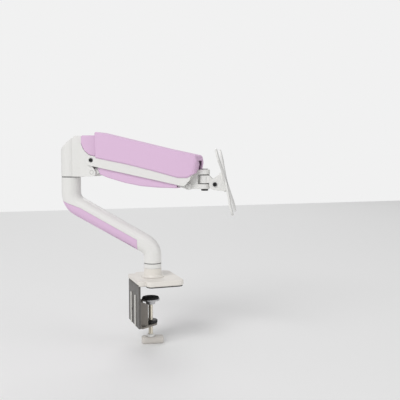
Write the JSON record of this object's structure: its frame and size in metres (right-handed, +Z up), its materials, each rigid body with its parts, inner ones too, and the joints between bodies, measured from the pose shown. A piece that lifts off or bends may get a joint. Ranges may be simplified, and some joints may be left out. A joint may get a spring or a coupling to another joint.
{
  "type": "monitor arm",
  "caption": "Desk-clamp monitor arm: a fixed post, a bent swivel arm, a gas-strut parallelogram arm under long covers, and a panning, tilting, turning head plate.",
  "frame": {"origin": "on the desk top under the post's axis, in the underside of the base pad", "axes": "+Z up; +X in over the desk, away from its clamped edge; +Y along the desk's edge"},
  "size_m": [0.3072, 0.2379, 0.3967],
  "materials": {
    "white_casting": "satin white paint on die-cast aluminium",
    "white_steel": "satin white paint on steel sheet",
    "lilac_plastic": "satin lilac plastic",
    "grey_steel": "grey painted steel sheet",
    "bright_zinc": "zinc-plated steel",
    "bright_steel": "turned steel",
    "black_steel": "black oxide steel",
    "black_rubber": "matte",
    "dark_nylon": "matte",
    "pale_grip": "satin"
  },
  "bodies": {
    "clamp_and_base": {"desk_pad": "black_rubber", "clamp_bracket": "grey_steel", "wall_rail_near": "bright_zinc", "wall_rail_far": "bright_zinc", "clamp_jaw": "grey_steel", "jaw_bolt_near": "black_steel", "jaw_bolt_far": "black_steel", "jaw_nut_near": "black_steel", "jaw_nut_far": "black_steel", "screw_bush": "dark_nylon", "post_bolt": "black_steel", "base_cover": "white_casting", "post_shaft": "bright_steel", "foot_collar": "white_casting", "stop_ring": "white_casting", "post_washer": "dark_nylon"},
    "clamp_foot": {"foot_pad": "black_rubber", "foot_plate": "bright_steel"},
    "clamp_screw": {"clamp_screw": "bright_steel", "handle_collar": "white_casting", "clamp_handle": "pale_grip"},
    "lower_arm": {"lower_arm": "white_casting", "cable_cover": "lilac_plastic", "post_bush": "dark_nylon", "friction_screw": "black_steel", "elbow_pin": "bright_steel", "elbow_washer": "dark_nylon"},
    "hub": {"hub": "white_casting", "hub_shroud": "lilac_plastic", "elbow_bush": "dark_nylon", "lift_pin": "bright_steel", "lift_screw_near": "black_steel", "lift_screw_far": "black_steel", "link_pin_near": "bright_zinc", "link_pin_far": "bright_zinc", "tension_block": "bright_zinc", "tension_screw": "black_steel", "strut_rear_pin": "bright_steel"},
    "upper_arm": {"beam": "white_casting", "upper_cover": "lilac_plastic", "front_pin": "bright_steel", "strut_front_pin": "bright_steel"},
    "lower_link": {"lower_link": "white_casting", "lower_cover": "lilac_plastic"},
    "strut_rod": {"strut_rod": "bright_steel"},
    "strut_tube": {"strut_tube": "black_steel"},
    "knuckle": {"knuckle": "white_casting", "link_front_pin": "bright_zinc", "swivel_pin": "bright_steel", "swivel_nut": "black_steel"},
    "neck": {"neck": "white_casting", "swivel_washer_upper": "dark_nylon", "swivel_washer_lower": "dark_nylon"},
    "tilt_bracket": {"tilt_bracket": "white_casting", "tilt_bolt": "black_steel", "tilt_nut": "black_steel"},
    "head_plate": {"vesa_plate": "white_steel", "plate_spindle": "bright_steel", "spindle_nut": "black_steel"}
  },
  "joints": [
    {"name": "base_swivel", "type": "hinge", "parent": "clamp_and_base", "child": "lower_arm", "pos_m": [0, 0, 0.045], "axis": [0, 0, 1], "range_deg": [-170, 170]},
    {"name": "elbow_swivel", "type": "hinge", "parent": "lower_arm", "child": "hub", "pos_m": [-0.13937, 0.07009, 0.199], "axis": [0, 0, 1], "range_deg": [-170, 170]},
    {"name": "arm_lift", "type": "hinge", "parent": "hub", "child": "upper_arm", "pos_m": [-0.09677, 0.04169, 0.2307], "axis": [-0.5548, -0.832, 0], "range_deg": [-28, 23]},
    {"name": "link_swing", "type": "hinge", "parent": "hub", "child": "lower_link", "pos_m": [-0.09677, 0.04169, 0.2082], "axis": [-0.5548, -0.832, 0], "range_deg": [-28, 23]},
    {"name": "knuckle_level", "type": "hinge", "parent": "upper_arm", "child": "knuckle", "pos_m": [0.05376, -0.0587, 0.20655], "axis": [-0.5548, -0.832, 0], "range_deg": [-23, 28]},
    {"name": "strut_swing", "type": "hinge", "parent": "hub", "child": "strut_rod", "pos_m": [-0.10193, 0.04513, 0.2165], "axis": [-0.5548, -0.832, 0], "range_deg": [-28, 23]},
    {"name": "strut_slide", "type": "slide", "parent": "strut_rod", "child": "strut_tube", "axis": [0.8319, -0.5548, 0.0068], "range_m": [-0.0075, 0.0062]},
    {"name": "head_pan", "type": "hinge", "parent": "knuckle", "child": "neck", "pos_m": [0.07697, -0.07418, 0.19665], "axis": [0, 0, 1], "range_deg": [-77.7, 62.3]},
    {"name": "head_tilt", "type": "hinge", "parent": "neck", "child": "tilt_bracket", "pos_m": [0.0945, -0.08273, 0.18805], "axis": [-0.4384, -0.8988, 0], "range_deg": [-34.5, 5.5]},
    {"name": "plate_turn", "type": "hinge", "parent": "tilt_bracket", "child": "head_plate", "pos_m": [0.11016, -0.09037, 0.19256], "axis": [0.8702, -0.4244, 0.2504], "range_deg": [-90, 90]},
    {"name": "clamp_foot_slide", "type": "slide", "parent": "clamp_and_base", "child": "clamp_foot", "axis": [0, 0, 1], "range_m": [-0.028, 0.016]},
    {"name": "clamp_screw_turn", "type": "hinge", "parent": "clamp_foot", "child": "clamp_screw", "pos_m": [-0.0045, 0, -0.06], "axis": [0, 0, 1], "continuous": true}
  ],
  "couplings": [
    {"joint": "link_swing", "follows": "arm_lift", "ratio": 1},
    {"joint": "knuckle_level", "follows": "arm_lift", "ratio": -1},
    {"joint": "strut_swing", "follows": "arm_lift", "ratio": 0.965},
    {"joint": "strut_slide", "follows": "arm_lift", "m_per_rad": 0.0145}
  ]
}
